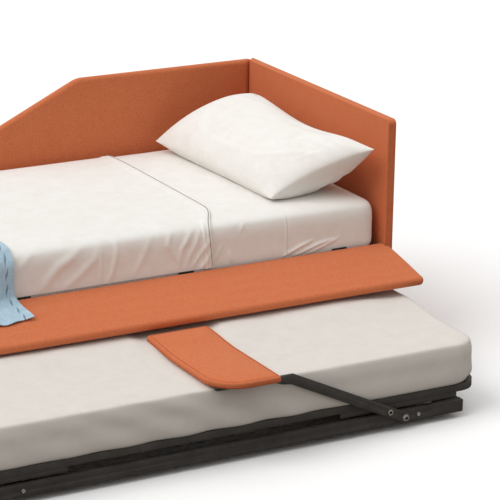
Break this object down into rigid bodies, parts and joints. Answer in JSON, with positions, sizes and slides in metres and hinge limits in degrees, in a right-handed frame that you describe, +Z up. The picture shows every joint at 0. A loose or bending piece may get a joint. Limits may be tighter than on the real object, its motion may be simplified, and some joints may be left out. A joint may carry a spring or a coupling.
{
  "type": "trundle bed",
  "caption": "Upholstered corner bed with a slatted trundle that rolls out below a hinged front flap, with mattresses, pillow, throw and a folding headrest.",
  "frame": {"origin": "on the floor, below the middle of the open bed's bounding box", "axes": "+X to the head end, -Y to the side where the trundle comes out, +Z up"},
  "size_m": [2.076, 1.656, 0.79],
  "materials": {
    "upholstery": "woven wool-blend upholstery, matt",
    "sheet": "smooth cotton percale, matt",
    "throw_cotton": "pale blue cotton gauze, matt",
    "frame_steel": "anthracite powder coat, fine satin",
    "zinc_steel": "bright zinc plate",
    "slat_wood": "beech plywood, clear lacquer",
    "black_plastic": "moulded, fine matt grain",
    "tyre_rubber": "soft grey-black tread, matt"
  },
  "bodies": {
    "bed": {"back_panel": "upholstery", "corner_angles": "zinc_steel", "deck_bolts": "zinc_steel", "deck_centre_beam": "frame_steel", "deck_rail_back": "frame_steel", "deck_rail_foot": "frame_steel", "deck_rail_front": "frame_steel", "deck_rail_head": "frame_steel", "deck_slats": "slat_wood", "flap_hinge_brackets": "zinc_steel", "flap_hinge_pins": "zinc_steel", "floor_glides": "black_plastic", "foot_panel": "upholstery", "headboard": "upholstery", "pillow": "sheet", "slat_holders": "black_plastic", "throw": "throw_cotton", "upper_mattress": "sheet"},
    "trundle": {"base_cross_rails": "frame_steel", "base_end_foot": "frame_steel", "base_end_head": "frame_steel", "base_rail_back": "frame_steel", "base_rail_front": "frame_steel", "headrest_pivot_bolt": "zinc_steel", "headrest_pivot_washers": "zinc_steel", "mattress_retainer_foot": "frame_steel", "mattress_retainer_head": "frame_steel", "platform_bow_foot": "frame_steel", "platform_bow_head": "frame_steel", "platform_cross_tubes": "frame_steel", "platform_posts": "frame_steel", "platform_side_plates": "frame_steel", "platform_tube_back": "frame_steel", "platform_tube_front": "frame_steel", "rail_bolts": "zinc_steel", "rail_end_caps": "black_plastic", "trundle_mattress": "sheet", "trundle_slat_holders": "black_plastic", "trundle_slats": "slat_wood", "wheel_axles": "zinc_steel", "wheel_brackets": "frame_steel"},
    "flap": {"front_flap": "upholstery", "flap_hinge_leaves": "zinc_steel"},
    "headrest": {"headrest_panel": "upholstery", "headrest_arm": "frame_steel", "headrest_stop": "zinc_steel"},
    "wheel_head_front": {"wheel_hub_head_front": "black_plastic", "wheel_tyre_head_front": "tyre_rubber"},
    "wheel_head_back": {"wheel_hub_head_back": "black_plastic", "wheel_tyre_head_back": "tyre_rubber"},
    "wheel_foot_front": {"wheel_hub_foot_front": "black_plastic", "wheel_tyre_foot_front": "tyre_rubber"},
    "wheel_foot_back": {"wheel_hub_foot_back": "black_plastic", "wheel_tyre_foot_back": "tyre_rubber"}
  },
  "joints": [
    {"name": "trundle_slide", "type": "slide", "parent": "bed", "child": "trundle", "axis": [0, -1, 0], "range_m": [-0.741, 0]},
    {"name": "flap_hinge", "type": "hinge", "parent": "bed", "child": "flap", "pos_m": [0, -0.111, 0.369], "axis": [-1, 0, 0], "range_deg": [0, 28], "deforming": ["throw"]},
    {"name": "headrest_fold", "type": "hinge", "parent": "trundle", "child": "headrest", "pos_m": [0.692, -0.767, 0.041], "axis": [0, 1, 0], "range_deg": [0, 90]},
    {"name": "wheel_head_front_roll", "type": "hinge", "parent": "trundle", "child": "wheel_head_front", "pos_m": [0.868, -0.692, 0.025], "axis": [1, 0, 0], "continuous": true},
    {"name": "wheel_head_back_roll", "type": "hinge", "parent": "trundle", "child": "wheel_head_back", "pos_m": [0.868, -0.048, 0.025], "axis": [1, 0, 0], "continuous": true},
    {"name": "wheel_foot_front_roll", "type": "hinge", "parent": "trundle", "child": "wheel_foot_front", "pos_m": [-0.756, -0.692, 0.025], "axis": [1, 0, 0], "continuous": true},
    {"name": "wheel_foot_back_roll", "type": "hinge", "parent": "trundle", "child": "wheel_foot_back", "pos_m": [-0.756, -0.048, 0.025], "axis": [1, 0, 0], "continuous": true}
  ]
}
